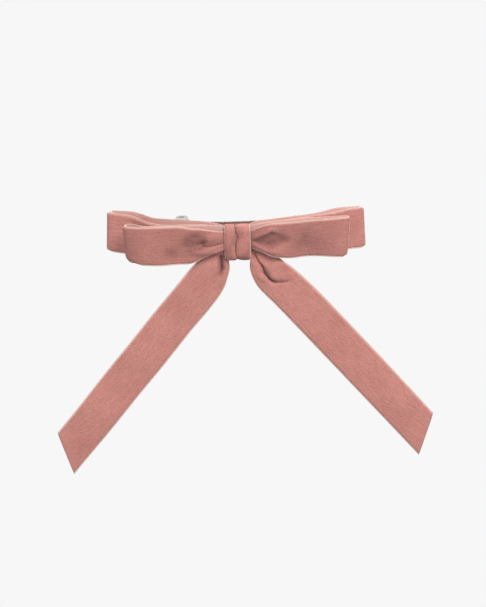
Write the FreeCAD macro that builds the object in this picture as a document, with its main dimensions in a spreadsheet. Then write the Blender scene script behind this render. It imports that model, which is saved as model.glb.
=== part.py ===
"""A ribbon bow barrette, in millimetres.

A two-layer velvet ribbon bow with a pleated knot and two long tails is sewn to the front of an arched
spring-steel hair clip. X runs along the clip, Y from the front of the bow to the back of the clip and
Z up. The origin is the middle of the gap that grips the hair, between the tension spring and the arm.
"""
import FreeCAD, Part
import math
import os

SIZES = {
    "clip_length": (72.0, "base plate, end to end"),
    "plate_width": (9.0, "base plate, across"),
    "plate_thick": (0.8, "sheet steel of the base plate and the arm"),
    "arch_radius": (125.0, "front face of the base plate"),
    "plate_front": (-6.1, "y of the base plate's front face at the middle"),
    "plate_corner": (1.8, "rounded corners of the base plate"),
    "arm_front": (-1.5, "y of the arm's gripping face at the middle"),
    "arm_radius": (150.0, "gripping face of the arm"),
    "arm_width": (4.6, "arm, across"),
    "arm_eye_width": (7.7, "eye at the arm's free end, across"),
    "arm_eye_length": (9.0, "eye at the arm's free end, along the clip"),
    "arm_eye_corner": (1.2, "rounded corners of the eye"),
    "eye_slot_width": (6.1, "opening of the eye, across"),
    "eye_slot_length": (7.8, "opening of the eye, along the clip"),
    "arm_window_width": (1.8, "long window in the arm, across"),
    "arm_window_length": (34.0, "long window in the arm"),
    "pin_place": (32.2, "x of the hinge pin"),
    "pin_depth": (1.3, "y of the hinge pin"),
    "pin_radius": (0.8, "hinge pin"),
    "pin_play": (0.05, "radial play of what turns on the pin"),
    "pin_head_radius": (1.2, "peened ends of the pin"),
    "pin_head_thick": (0.35, "peened ends of the pin"),
    "lug_gap": (5.0, "between the two hinge lugs"),
    "lug_thick": (0.8, "hinge lug"),
    "lug_radius": (2.0, "round end of a hinge lug"),
    "knuckle_radius": (1.6, "curl of the arm round the pin"),
    "fork_gap": (2.6, "between the arm's two knuckles"),
    "fork_length": (12.0, "slot that makes the fork"),
    "spring_width": (2.2, "tension spring, across"),
    "spring_thick": (0.4, "tension spring strip"),
    "spring_curl_radius": (1.3, "curl of the spring round the pin"),
    "catch_place": (-29.9, "x of the catch's middle"),
    "catch_base_length": (6.0, "foot of the catch, along the clip"),
    "catch_thick": (0.6, "sheet steel of the catch"),
    "catch_width": (5.6, "across the outsides of the two ears"),
    "ear_foot": (0.6, "y where an ear starts"),
    "ear_centre": (7.6, "y of the ear's round end"),
    "ear_radius": (3.3, "round end of an ear"),
    "ear_hole_radius": (1.3, "hole in an ear"),
    "ear_gap": (0.08, "between an ear and its stub"),
    "barb_place": (3.0, "y where an ear's barb starts, just behind the arm"),
    "barb_proud": (0.15, "how far an ear's barb stands out"),
    "rivet_radius": (0.9, "shank of the catch's rivet"),
    "rivet_head_radius": (1.7, "head of the catch's rivet"),
    "rivet_head_thick": (0.4, "head of the catch's rivet"),
    "stitch_place": (24.0, "x of the stitches that hold the bow"),
    "stitch_half": (1.5, "half the length of a stitch"),
    "stitch_side": (3.1, "z of the stitches"),
    "stitch_radius": (0.35, "sewing thread, doubled"),
    "stitch_hole_radius": (0.45, "hole for a stitch"),
    "bow_drop": (3.9, "how far the bow's middle is below the clip's"),
    "ribbon_width": (22.0, "velvet ribbon"),
    "ribbon_thick": (1.0, "velvet ribbon with its pile"),
    "layer_step": (1.1, "from one gathered layer to the next"),
    "rear_layer": (-8.15, "y of the rearmost gathered layer's middle"),
    "rear_reach": (70.6, "x where the rear bow's loops fold"),
    "front_reach": (62.2, "x where the front bow's loops fold"),
    "waist_height": (15.0, "height of the ribbons where they are gathered"),
    "waist_half": (8.4, "half the length of the gathered stretch"),
    "waist_end": (24.0, "x where a ribbon has its full width again"),
    "tail_lean": (39.4, "angle of a tail from straight down, in degrees"),
    "tail_left": (156.0, "left tail along its middle"),
    "tail_right": (154.0, "right tail along its middle"),
    "tail_cut": (13.4, "how much longer a tail's inner edge is"),
    "knot_width": (14.8, "knot band, along the clip"),
    "knot_height": (19.8, "knot band, outside"),
    "knot_drop": (5.0, "how far the knot band's middle is below the clip's middle"),
    "knot_front": (-15.1, "y of the knot's front"),
    "knot_back": (-7.15, "y where the knot band's back layer starts"),
    "knot_wall": (1.5, "pleated front layer of the knot band"),
    "knot_side": (0.8, "top and bottom of the knot band"),
    "knot_round": (2.2, "rounded corners of the knot band"),
    "thread_thick": (0.4, "gathering thread"),
    "thread_gap": (0.03, "from the gathering thread to the ribbons it goes round"),
    "thread_pitch": (1.2, "from one turn of the gathering thread to the next"),
    "grip_depth": (2.45, "how far every piece is set back, which puts the origin in the gap for the hair"),
}

doc = FreeCAD.newDocument("barrette")
sheet = doc.addObject("Spreadsheet::Sheet", "Sizes")
for row, (alias, (value, meaning)) in enumerate(SIZES.items(), start=1):
    sheet.set(f"A{row}", meaning)
    sheet.set(f"B{row}", str(value))
    sheet.setAlias(f"B{row}", alias)
doc.recompute()

PARTS = []
DEEP = 40.0  # longer than anything that is cut through


def size(alias):
    """A driving dimension, read from the sheet."""
    return float(sheet.get(alias))


def bound(expression):
    """An expression in the names of the sheet's cells, as FreeCAD wants it."""
    words = expression.replace("(", " ( ").replace(")", " ) ").split()
    return " ".join(f"Sizes.{word}" if word in SIZES else word for word in words)


def place(shape, x="0", y="0", z="0", turn=(0, 0, 1), angle=0.0):
    """Puts a primitive where three expressions say, turned about an axis."""
    shape.Placement = FreeCAD.Placement(FreeCAD.Vector(), FreeCAD.Rotation(FreeCAD.Vector(*turn), angle))
    for axis, expression in zip("xyz", (x, y, z)):
        shape.setExpression(f"Placement.Base.{axis}", bound(expression))
    return shape


def box(name, length, depth, height, x, y, z):
    """A box whose sizes and lowest corner are expressions."""
    shape = doc.addObject("Part::Box", name)
    for key, expression in (("Length", length), ("Width", depth), ("Height", height)):
        shape.setExpression(key, bound(expression))
    return place(shape, x, y, z)


def rod(name, radius, height, x, y, z, turn=(0, 0, 1), angle=0.0):
    """A cylinder along Z, or turned, whose sizes and foot are expressions."""
    shape = doc.addObject("Part::Cylinder", name)
    shape.setExpression("Radius", bound(radius))
    shape.setExpression("Height", bound(height))
    return place(shape, x, y, z, turn, angle)


def joined(kind, name, shapes):
    """A boolean of several shapes: MultiFuse or MultiCommon."""
    result = doc.addObject(f"Part::{kind}", name)
    result.Shapes = shapes
    doc.recompute()
    return result


def cut(name, base, tools):
    """base without the tools."""
    result = doc.addObject("Part::Cut", name)
    result.Base = base
    result.Tool = tools[0] if len(tools) == 1 else joined("MultiFuse", f"{name}_tools", tools)
    doc.recompute()
    return result


def rounded(name, base, radius, direction):
    """base with the edges that run along a direction rounded."""
    doc.recompute()
    result = doc.addObject("Part::Fillet", name)
    result.Base = base
    along = FreeCAD.Vector(*direction)
    chosen = [
        (number, size(radius), size(radius))
        for number, edge in enumerate(base.Shape.Edges, start=1)
        if edge.Curve.TypeId == "Part::GeomLine"
        and abs(edge.tangentAt(edge.FirstParameter).dot(along)) > 0.999
    ]
    result.Edges = chosen
    doc.recompute()
    return result


def mirrored(name, source):
    """source seen in the clip's level middle plane."""
    result = doc.addObject("Part::Mirroring", name)
    result.Source = source
    result.Normal = (0, 0, 1)
    doc.recompute()
    return result


def part(label, shape):
    """Marks a finished shape as a sub-part with its own name."""
    shape.Label = label
    PARTS.append(shape)
    return shape


def arched(name, front, radius, thick, width):
    """A sheet bent along an arc: its front face has the radius and meets the middle at y = front."""
    solid = rod(f"{name}_outer", radius, width, "0", f"{front} + {radius}", f"-0.5 * {width}")
    hollow = rod(f"{name}_inner", f"{radius} - {thick}", width, "0", f"{front} + {radius}", f"-0.5 * {width}")
    return cut(f"{name}_ring", solid, [hollow])


def plate_inner(x):
    """y of the base plate's inner face at x."""
    radius = size("arch_radius") - size("plate_thick")
    return size("plate_front") + size("arch_radius") - math.sqrt(radius**2 - x**2)


def rounded_path(points, closed):
    """Straight runs joined by tangent arcs, each arc as large as its two runs allow."""
    spots = [FreeCAD.Vector(x, y, 0) for x, y in points]
    count = len(spots)
    corners = range(count) if closed else range(1, count - 1)
    turns = {}
    for i in corners:
        before, here, after = spots[i - 1], spots[i], spots[(i + 1) % count]
        back, ahead = before - here, after - here
        reach = 0.45 * min(back.Length, ahead.Length)
        back.normalize()
        ahead.normalize()
        half = back.getAngle(ahead) / 2
        if half > math.radians(89.9):
            continue
        middle = back + ahead
        middle.normalize()
        start, end = here + back * reach, here + ahead * reach
        top = here + middle * (reach / math.cos(half) - reach * math.tan(half))
        turns[i] = (start, top, end)
    edges = []
    for i in range(count if closed else count - 1):
        follower = (i + 1) % count
        leave = turns[i][2] if i in turns else spots[i]
        arrive = turns[follower][0] if follower in turns else spots[follower]
        edges.append(Part.LineSegment(leave, arrive).toShape())
        if follower in turns:
            edges.append(Part.Arc(*turns[follower]).toShape())
    return Part.Wire(edges)


def extruded(name, face, height, z):
    """A flat outline made into a solid whose height is an expression."""
    outline = doc.addObject("Part::Feature", f"{name}_outline")
    outline.Shape = face
    solid = doc.addObject("Part::Extrusion", f"{name}_solid")
    solid.Base = outline
    solid.DirMode = "Custom"
    solid.Dir = face.normalAt(0, 0) if abs(face.normalAt(0, 0).z) < 0.5 else FreeCAD.Vector(0, 0, 1)
    solid.Solid = True
    solid.Symmetric = True
    solid.setExpression("LengthFwd", bound(height))
    place(solid, "0", "0", z)
    doc.recompute()
    return solid


def upright_face(points):
    """A flat outline in the XZ plane, from its corners."""
    corners = [FreeCAD.Vector(x, 0, z) for x, z in points]
    return Part.Face(Part.makePolygon(corners + corners[:1]))


def base_plate():
    """The arched plate with its two hinge lugs, stitch holes and rivet hole."""
    ring = arched("plate", "plate_front", "arch_radius", "plate_thick", "plate_width")
    blank = box("plate_blank", "clip_length", "20", "plate_width",
                "-0.5 * clip_length", "plate_front - 1", "-0.5 * plate_width")
    plan = rounded("plate_corners", blank, "plate_corner", (0, 1, 0))
    strip = joined("MultiCommon", "plate_strip", [ring, plan])
    lug_post = box("lug_post", "2 * lug_radius", "6", "lug_thick",
                   "pin_place - lug_radius", "pin_depth - 6", "0.5 * lug_gap")
    lug_round = rod("lug_round", "lug_radius", "lug_thick", "pin_place", "pin_depth", "0.5 * lug_gap")
    lug = joined("MultiFuse", "lug", [lug_post, lug_round])
    in_front = rod("lug_trim", "arch_radius - 0.5 * plate_thick", "20",
                   "0", "plate_front + arch_radius", "-10")
    lugs = [joined("MultiCommon", "upper_lug", [lug, in_front])]
    lugs.append(mirrored("lower_lug", lugs[0]))
    whole = joined("MultiFuse", "plate_whole", [strip] + lugs)
    holes = [rod("pin_hole", "pin_radius", "20", "pin_place", "pin_depth", "-10"), rivet_shank("rivet_hole")]
    for number, (x, z) in enumerate(stitch_holes()):
        holes.append(rod(f"stitch_hole_{number}", "stitch_hole_radius", "20", x, "10", z, (1, 0, 0), 90))
    return part("base_plate", cut("base_plate", whole, holes))


def stitch_holes():
    """Where the thread goes through the plate: two holes for each of four stitches."""
    return [
        (f"{end} * stitch_place + {step} * stitch_half", f"{side} * stitch_side")
        for end in (-1, 1) for side in (-1, 1) for step in (-1, 1)
    ]


def rivet_tilt():
    """Angle of the rivet from Y, square to the plate where the catch stands, in degrees."""
    return math.degrees(math.asin(size("catch_place") / size("arch_radius")))


def rivet_shank(name, radius="rivet_radius", length=6.0, start=3.0):
    """A short cylinder square to the plate at the catch, from in front of the plate to behind it."""
    shape = doc.addObject("Part::Cylinder", name)
    shape.setExpression("Radius", bound(radius))
    shape.Height = length
    tilt = math.radians(rivet_tilt())
    ahead = FreeCAD.Vector(math.sin(tilt), -math.cos(tilt), 0)
    centre = FreeCAD.Vector(0, size("plate_front") + size("arch_radius"), 0)
    foot = centre + ahead * (size("arch_radius") + start)
    shape.Placement = FreeCAD.Placement(foot, FreeCAD.Rotation(FreeCAD.Vector(0, 0, 1), ahead * -1))
    return shape


def hinge_pin():
    """The pin through the lugs, with its two peened ends."""
    out = "0.5 * lug_gap + lug_thick"
    pieces = [
        rod("pin_shank", "pin_radius", f"2 * ( {out} )", "pin_place", "pin_depth", f"-1 * ( {out} )"),
        rod("pin_top", "pin_head_radius", "pin_head_thick", "pin_place", "pin_depth", out),
        rod("pin_foot", "pin_head_radius", "pin_head_thick", "pin_place", "pin_depth",
            f"-1 * ( {out} ) - pin_head_thick"),
    ]
    return part("hinge_pin", joined("MultiFuse", "hinge_pin", pieces))


def closing_arm():
    """The arm that swings behind the hair: a forked strip with a window and an eye for the ears."""
    ring = arched("arm", "arm_front", "arm_radius", "plate_thick", "arm_eye_width")
    band = box("arm_band", "pin_place - catch_place", "20", "arm_width",
               "catch_place", "arm_front - 2", "-0.5 * arm_width")
    eye = box("arm_eye", "arm_eye_length", "20", "arm_eye_width",
              "catch_place - 0.5 * arm_eye_length", "arm_front - 2", "-0.5 * arm_eye_width")
    round_eye = rounded("arm_eye_round", eye, "arm_eye_corner", (0, 1, 0))
    outline = joined("MultiFuse", "arm_outline", [band, round_eye])
    strip = joined("MultiCommon", "arm_strip", [ring, outline])
    knuckles = rod("arm_curl", "knuckle_radius", "arm_width", "pin_place", "pin_depth", "-0.5 * arm_width")
    whole = joined("MultiFuse", "arm_whole", [strip, knuckles])
    openings = [
        rod("arm_bore", "pin_radius + pin_play", "20", "pin_place", "pin_depth", "-10"),
        box("arm_fork", "fork_length", "20", "fork_gap",
            "pin_place + knuckle_radius + 1 - fork_length", "-5", "-0.5 * fork_gap"),
        box("arm_window", "arm_window_length", "20", "arm_window_width",
            "-0.5 * arm_window_length - 1", "-5", "-0.5 * arm_window_width"),
        box("eye_slot", "eye_slot_length", "20", "eye_slot_width",
            "catch_place - 0.5 * eye_slot_length", "-5", "-0.5 * eye_slot_width"),
    ]
    return part("closing_arm", cut("closing_arm", whole, openings))


def tension_spring():
    """The springy tongue, curled round the pin, that pushes the hair against the arm."""
    pin = (size("pin_place"), size("pin_depth"))
    middle = size("spring_curl_radius") - size("spring_thick") / 2
    route = [
        (pin[0] - middle, pin[1] + 0.2), (pin[0] - 2.2, -0.4), (26.0, -1.8),
        (14.0, -3.2), (0.0, -3.6), (-12.0, -2.9), (-21.0, -1.4), (-24.2, -1.2),
    ]
    path = rounded_path(route, closed=False)
    outline = Part.Face(path.makeOffset2D(size("spring_thick") / 2, 0, False, False, True))
    tongue = extruded("spring", outline, "spring_width", "0")
    curl = rod("spring_curl", "spring_curl_radius", "spring_width",
               "pin_place", "pin_depth", "-0.5 * spring_width")
    bore = rod("spring_bore", "pin_radius + pin_play", "20", "pin_place", "pin_depth", "-10")
    whole = joined("MultiFuse", "spring_whole", [tongue, curl])
    return part("tension_spring", cut("tension_spring", whole, [bore]))


def catch_bracket():
    """The catch's foot, which follows the plate's arch, with a stub under each ear."""
    front = "plate_front + plate_thick"
    ring = arched("foot", front, "( arch_radius - plate_thick )", "catch_thick", "catch_width")
    blank = box("foot_blank", "catch_base_length", "20", "catch_width",
                "catch_place - 0.5 * catch_base_length", "-10", "-0.5 * catch_width")
    foot = joined("MultiCommon", "foot_strip", [ring, blank])
    stub = box("stub", "catch_base_length", "4", "catch_thick", "catch_place - 0.5 * catch_base_length",
               "ear_foot - ear_gap - 4", "0.5 * catch_width - catch_thick")
    behind = rod("stub_trim", "arch_radius - plate_thick", "20", "0", "plate_front + arch_radius", "-10")
    upper = joined("MultiCommon", "upper_stub", [stub, behind])
    whole = joined("MultiFuse", "foot_whole", [foot, upper, mirrored("lower_stub", upper)])
    return part("catch_bracket", cut("catch_bracket", whole, [rivet_shank("foot_hole")]))


def catch_ears():
    """The two ears that are pinched together to let the arm go: round ends, a hole and a barb each."""
    inside = "0.5 * catch_width - catch_thick"
    neck = box("ear_neck", "catch_base_length", "ear_centre - ear_foot", "catch_thick",
               "catch_place - 0.5 * catch_base_length", "ear_foot", inside)
    end = rod("ear_end", "ear_radius", "catch_thick", "catch_place", "ear_centre", inside)
    barb = box("ear_barb", "0.6 * catch_base_length", "0.6", "barb_proud",
               "catch_place - 0.3 * catch_base_length", "barb_place", "0.5 * catch_width")
    hole = rod("ear_hole", "ear_hole_radius", "20", "catch_place", "ear_centre", "-10")
    upper = cut("catch_ear_upper", joined("MultiFuse", "ear_whole", [neck, end, barb]), [hole])
    part("catch_ear_upper", upper)
    part("catch_ear_lower", mirrored("catch_ear_lower", upper))


def catch_rivet():
    """The rivet that holds the catch's foot to the plate."""
    head = size("rivet_head_thick")
    hollow = size("rivet_head_radius") ** 2 / (2 * size("arch_radius")) + 0.002
    grip = size("plate_thick") + size("catch_thick") + hollow
    pieces = [
        rivet_shank("rivet_body", length=grip + 2 * head, start=head),
        rivet_shank("rivet_front", "rivet_head_radius", head, head),
        rivet_shank("rivet_back", "rivet_head_radius", head, -grip),
    ]
    return part("catch_rivet", joined("MultiFuse", "catch_rivet", pieces))


def plate_stitches():
    """Four doubled stitches, each out through one hole of the plate and back through the next."""
    pieces = []
    ribbon_back = size("rear_layer") + size("ribbon_thick") / 2 - size("plate_front")
    z = size("stitch_side")
    for number, end in enumerate((-1, 1)):
        legs, inner = [], []
        for step in (-1, 1):
            x = end * size("stitch_place") + step * size("stitch_half")
            front = plate_inner(x) - size("plate_thick") + ribbon_back + 0.02
            inner.append(plate_inner(x) + size("stitch_radius"))
            leg = doc.addObject("Part::Cylinder", f"stitch_leg_{number}_{step + 1}")
            leg.setExpression("Radius", bound("stitch_radius"))
            leg.Height = inner[-1] - front
            backwards = FreeCAD.Rotation(FreeCAD.Vector(1, 0, 0), -90)
            leg.Placement = FreeCAD.Placement(FreeCAD.Vector(x, front, z), backwards)
            legs.append(leg)
        start = FreeCAD.Vector(end * size("stitch_place") - size("stitch_half"), inner[0], z)
        finish = FreeCAD.Vector(end * size("stitch_place") + size("stitch_half"), inner[1], z)
        bridge = doc.addObject("Part::Cylinder", f"stitch_bridge_{number}")
        bridge.setExpression("Radius", bound("stitch_radius"))
        bridge.Height = (finish - start).Length
        bridge.Placement = FreeCAD.Placement(start, FreeCAD.Rotation(FreeCAD.Vector(0, 0, 1), finish - start))
        balls = []
        for name, spot in (("start", start), ("finish", finish)):
            ball = doc.addObject("Part::Sphere", f"stitch_{name}_{number}")
            ball.setExpression("Radius", bound("stitch_radius"))
            ball.Placement.Base = spot
            balls.append(ball)
        pieces.append(joined("MultiFuse", f"upper_stitch_{number}", legs + balls + [bridge]))
        pieces.append(mirrored(f"lower_stitch_{number}", pieces[-1]))
    group = doc.addObject("Part::Compound", "plate_stitches")
    group.Links = pieces
    return part("plate_stitches", group)


def hourglass(name):
    """The shape that narrows the ribbons at the knot, through everything."""
    full, waist = size("ribbon_width") / 2 + 1, size("waist_height") / 2
    near, far = size("waist_half"), size("waist_end")
    side = [(near, waist), (far, full), (DEEP * 2.5, full)]
    top = [(-x, z) for x, z in reversed(side)] + side
    points = top + [(x, -z) for x, z in reversed(top)]
    shape = extruded(name, upright_face(points), "200", "-1 * bow_drop")
    return shape


def bow_band(name, back, front):
    """One ribbon sewn into two loops: back and front are the right-hand halves of its two layers."""
    right = back + list(reversed(front))
    left = [(-x, y) for x, y in reversed(right) if x > 0]
    path = rounded_path(right + left, closed=True)
    half = size("ribbon_thick") / 2
    outer, inner = path.makeOffset2D(half), path.makeOffset2D(-half)
    face = Part.Face([outer, inner])
    band = extruded(name, face, "ribbon_width", "-1 * bow_drop")
    return part(name, joined("MultiCommon", name, [band, hourglass(f"{name}_waist")]))


def rear_bow():
    """The longer bow, whose back layer follows the clip's arch and runs on straight past its ends."""
    radius = size("arch_radius") + size("plate_front") - size("rear_layer")
    reach, top = size("rear_reach"), size("rear_layer")
    straight = size("clip_length") / 2
    slope = straight / math.sqrt(radius**2 - straight**2)
    on_arch = [(x, top + radius - math.sqrt(radius**2 - x**2)) for x in (5.0, 12.0, 24.0, straight)]
    past = [(x, on_arch[-1][1] + (x - straight) * slope) for x in (54.0, reach)]
    front = top - size("layer_step")
    loop = [(6.0, front), (30.0, front - 0.05), (42.0, front + 0.3), (52.0, front + 4.2), (61.0, 1.0),
            (reach, past[-1][1] - 3.4)]
    return bow_band("rear_bow_ribbon", on_arch + past, loop)


def front_bow():
    """The shorter bow in front, whose loops stand out straight to the sides."""
    back = size("rear_layer") - 3 * size("layer_step")
    front, reach = back - size("layer_step"), size("front_reach")
    behind = [(6.0, back), (32.0, back - 0.05), (46.0, back + 0.8), (reach, back + 1.2)]
    ahead = [
        (6.0, front), (16.0, front - 1.6), (30.0, front - 3.7), (48.0, front - 3.2), (reach, front - 1.2),
    ]
    return bow_band("front_bow_ribbon", behind, ahead)


def tail_outline(side, length, off):
    """Corners of one tail: gathered at the knot, then full width down to its slanting cut."""
    lean = math.radians(size("tail_lean"))
    half = size("ribbon_width") / 2
    middle = -size("bow_drop")

    def corner(along, across):
        """A point that far down the tail and that far out from its middle line."""
        x = math.sin(lean) * along + math.cos(lean) * across
        z = -math.cos(lean) * along + math.sin(lean) * across
        return (side * x, middle + z)

    cut_half = size("tail_cut") / 2
    knot_side = [(side * 3.0, middle + 6.0), (side * 8.0, middle + 1.0), (side * 12.0, middle - 3.4)]
    knot_side.append(corner(26.0, off + half))
    end = [corner(length - cut_half, off + half), corner(length + cut_half, off - half)]
    inner = [corner(30.0, off - half), (side * 8.0, middle - 13.0), (side * 8.0, middle - 8.6)]
    inner += [(side * 6.6, middle - 8.2), (side * 3.0, middle - 6.0)]
    return knot_side + end + inner


def tail_ribbon():
    """One ribbon folded under the knot, whose two ends hang as the tails."""
    across = box("tail_middle", "8", "ribbon_thick", "12",
                 "-4", "rear_layer - 2 * layer_step - 0.5 * ribbon_thick", "-1 * bow_drop - 6")
    tails = []
    for name, side, length, off in (("left", -1, "tail_left", -1.0), ("right", 1, "tail_right", 2.3)):
        face = upright_face(tail_outline(side, size(length), off))
        tail = extruded(f"{name}_tail", face, "ribbon_thick", "0")
        tail.setExpression("Placement.Base.y", bound("rear_layer - 2 * layer_step"))
        tails.append(tail)
    doc.recompute()
    return part("tail_ribbon", joined("MultiFuse", "tail_ribbon", [across] + tails))


def knot_ribbon():
    """The band round the middle of the bow: a closed ring with a thicker, pleated front."""
    outer = box("knot_outer", "knot_width", "knot_back + 1 - knot_front", "knot_height",
                "-0.5 * knot_width", "knot_front", "-1 * knot_drop - 0.5 * knot_height")
    inner = box("knot_inner", "knot_width + 2",
                "knot_back - knot_front - knot_wall", "knot_height - 2 * knot_side",
                "-0.5 * knot_width - 1", "knot_front + knot_wall",
                "-1 * knot_drop - 0.5 * knot_height + knot_side")
    band = rounded("knot_rounded", outer, "knot_round", (1, 0, 0))
    return part("knot_ribbon", cut("knot_ribbon", band, [inner]))


def gather_thread():
    """Four turns of thread that hold the gathers, under the knot band."""
    thick, ribbon, rear = size("thread_thick"), size("ribbon_thick"), size("rear_layer")
    away = (ribbon + thick) / 2 + size("thread_gap")
    half = (size("waist_height") + thick) / 2 + size("thread_gap")
    back, front = rear + away, rear - 4 * size("layer_step") - away
    low = -size("bow_drop") - half
    turns = []
    for number in range(4):
        x = (number - 1.5) * size("thread_pitch")
        turn = doc.addObject("Part::Feature", f"thread_turn_{number}")
        outer = Part.makeBox(thick, back - front + thick, 2 * half + thick,
                             FreeCAD.Vector(x - thick / 2, front - thick / 2, low - thick / 2))
        hole = Part.makeBox(2 * thick, back - front - thick, 2 * half - thick,
                            FreeCAD.Vector(x - thick, front + thick / 2, low + thick / 2))
        turn.Shape = outer.cut(hole)
        turns.append(turn)
    group = doc.addObject("Part::Compound", "gather_thread")
    group.Links = turns
    return part("gather_thread", group)


for build in (base_plate, hinge_pin, closing_arm, tension_spring, catch_bracket, catch_ears, catch_rivet,
              plate_stitches, rear_bow, front_bow, tail_ribbon, knot_ribbon, gather_thread):
    build()
doc.recompute()

for item in doc.Objects:
    if {"Invalid", "Error"} & set(item.State):
        raise SystemExit(f"{item.Name} failed: {item.State}")
for item in PARTS:
    if item.Shape.isNull() or not item.Shape.isValid() or not item.Shape.Solids:
        raise SystemExit(f"{item.Label} has no valid solid")
    box_of = item.Shape.BoundBox
    print(f"{item.Label:18} solids {len(item.Shape.Solids)}  volume {item.Shape.Volume:8.1f}  "
          f"x {box_of.XMin:7.2f} {box_of.XMax:7.2f}  y {box_of.YMin:7.2f} {box_of.YMax:7.2f}  "
          f"z {box_of.ZMin:7.2f} {box_of.ZMax:7.2f}")

os.makedirs("parts", exist_ok=True)
for item in PARTS:
    shape = item.Shape.copy()
    shape.translate(FreeCAD.Vector(0, size("grip_depth"), 0))
    shape.exportStep(f"parts/{item.Label}.step")
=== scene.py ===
"""Looks of a velvet bow barrette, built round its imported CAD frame.

Every ribbon is a surface worked out from a short list of stations along its length; the steel clip comes
from the frame and gets its finishes here. Lengths in the lists are millimetres from the middle of the bow.
"""
import math

import bpy
import numpy as np
from mathutils import Matrix, Vector


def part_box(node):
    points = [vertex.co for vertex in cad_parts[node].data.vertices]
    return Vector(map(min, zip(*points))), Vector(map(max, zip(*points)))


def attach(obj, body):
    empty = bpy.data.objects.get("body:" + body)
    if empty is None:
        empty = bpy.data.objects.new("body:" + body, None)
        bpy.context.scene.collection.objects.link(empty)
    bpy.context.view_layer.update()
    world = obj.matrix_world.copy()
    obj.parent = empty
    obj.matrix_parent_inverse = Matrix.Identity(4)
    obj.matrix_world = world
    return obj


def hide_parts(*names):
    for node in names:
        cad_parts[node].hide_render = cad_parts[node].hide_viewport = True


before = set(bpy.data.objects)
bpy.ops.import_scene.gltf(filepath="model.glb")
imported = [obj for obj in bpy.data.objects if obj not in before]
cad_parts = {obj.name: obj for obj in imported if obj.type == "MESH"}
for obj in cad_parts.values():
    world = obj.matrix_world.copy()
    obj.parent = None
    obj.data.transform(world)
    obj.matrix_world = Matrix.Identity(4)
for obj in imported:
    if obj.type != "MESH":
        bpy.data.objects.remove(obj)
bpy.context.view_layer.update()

bl_info = {
    "name": "Velvet bow barrette",
    "version": (1, 0, 0),
    "blender": (4, 5, 0),
    "location": "View3D > Sidebar > Barrette",
    "description": "Makes the ribbons, stitches, steel finishes and stage of a velvet bow barrette",
    "category": "Object",
}

MM = 0.001
BOW_LOW, BOW_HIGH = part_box("rear_bow_ribbon")
BOW_MIDDLE = (BOW_LOW.z + BOW_HIGH.z) / 2 / MM  # height of the bow's middle, mm
KNOT_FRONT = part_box("knot_ribbon")[0].y / MM  # y of the knot's front, mm
LIST_FRONT = -15.1  # y of the knot's front in the lists below, mm
SET_BACK = KNOT_FRONT - LIST_FRONT
RIBBON_WIDTH = 22.0  # mm
SELVEDGE = 0.75  # width of the bare woven edge of the ribbon, mm
PILE_RISE = 0.45  # distance over which the pile rises from the bare edge, mm
PILE_SLOT, BACK_SLOT, EDGE_SLOT = 0, 1, 2  # order of a ribbon's finishes
CORNER_REACH = 2.2  # how far along a loop the rounding of its corners starts, in corner radii
FOLDED_SHARE = 0.30  # share of a tail's length that has the folds and so the finer rows
FLOOR_DROP, FLOOR_RADIUS = 0.16, 6.0  # from the lowest tip down to the floor, and the floor's radius, m
LAMP_AIM = 30.0  # how far below the bow's middle the lamps aim, mm
SENSOR_WIDTH = 36.0  # mm


class BowSizes(bpy.types.PropertyGroup):
    """Sizes of the ribbon."""

    pile: bpy.props.FloatProperty(
        name="Pile", description="Height of the pile above the backing", default=0.55 * MM, unit="LENGTH",
        precision=5)
    backing: bpy.props.FloatProperty(
        name="Backing", description="Half the thickness of the woven backing", default=0.18 * MM, unit="LENGTH",
        precision=5)
    fold_depth: bpy.props.FloatProperty(
        name="Fold depth", description="Depth of the folds beside the knot", default=3.0 * MM, unit="LENGTH",
        precision=4)


class BowColours(bpy.types.PropertyGroup):
    """Colours of the ribbon and the metal."""

    pile: bpy.props.FloatVectorProperty(
        name="Pile", description="Colour of the velvet's pile", subtype="COLOR",
        default=(0.610, 0.273, 0.235))
    pile_shade: bpy.props.FloatVectorProperty(
        name="Pile, brushed", description="Colour of the pile where it is brushed the other way",
        subtype="COLOR", default=(0.435, 0.176, 0.153))
    # Painted shade: the dark colour that the pile is mixed towards where folds, creases and pits lie in shadow,
    # and for a darker tone on some pieces
    painted_shade_and_tone: bpy.props.FloatVectorProperty(
        name="Pile, crushed", description="Colour of the pile down in a fold", subtype="COLOR",
        default=(0.225, 0.098, 0.089))
    backing: bpy.props.FloatVectorProperty(
        name="Backing", description="Colour of the woven wrong side", subtype="COLOR",
        default=(0.74, 0.43, 0.39))
    selvedge: bpy.props.FloatVectorProperty(
        name="Selvedge", description="Colour of the ribbon's woven edges", subtype="COLOR",
        default=(0.80, 0.52, 0.455))
    nickel: bpy.props.FloatVectorProperty(
        name="Nickel", description="Colour of the plated steel", subtype="COLOR", default=(0.60, 0.57, 0.53))
    spring: bpy.props.FloatVectorProperty(
        name="Spring steel", description="Colour of the bright spring", subtype="COLOR",
        default=(0.50, 0.49, 0.48))
    thread: bpy.props.FloatVectorProperty(
        name="Thread", description="Colour of the sewing thread", subtype="COLOR", default=(0.48, 0.22, 0.19))


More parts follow.
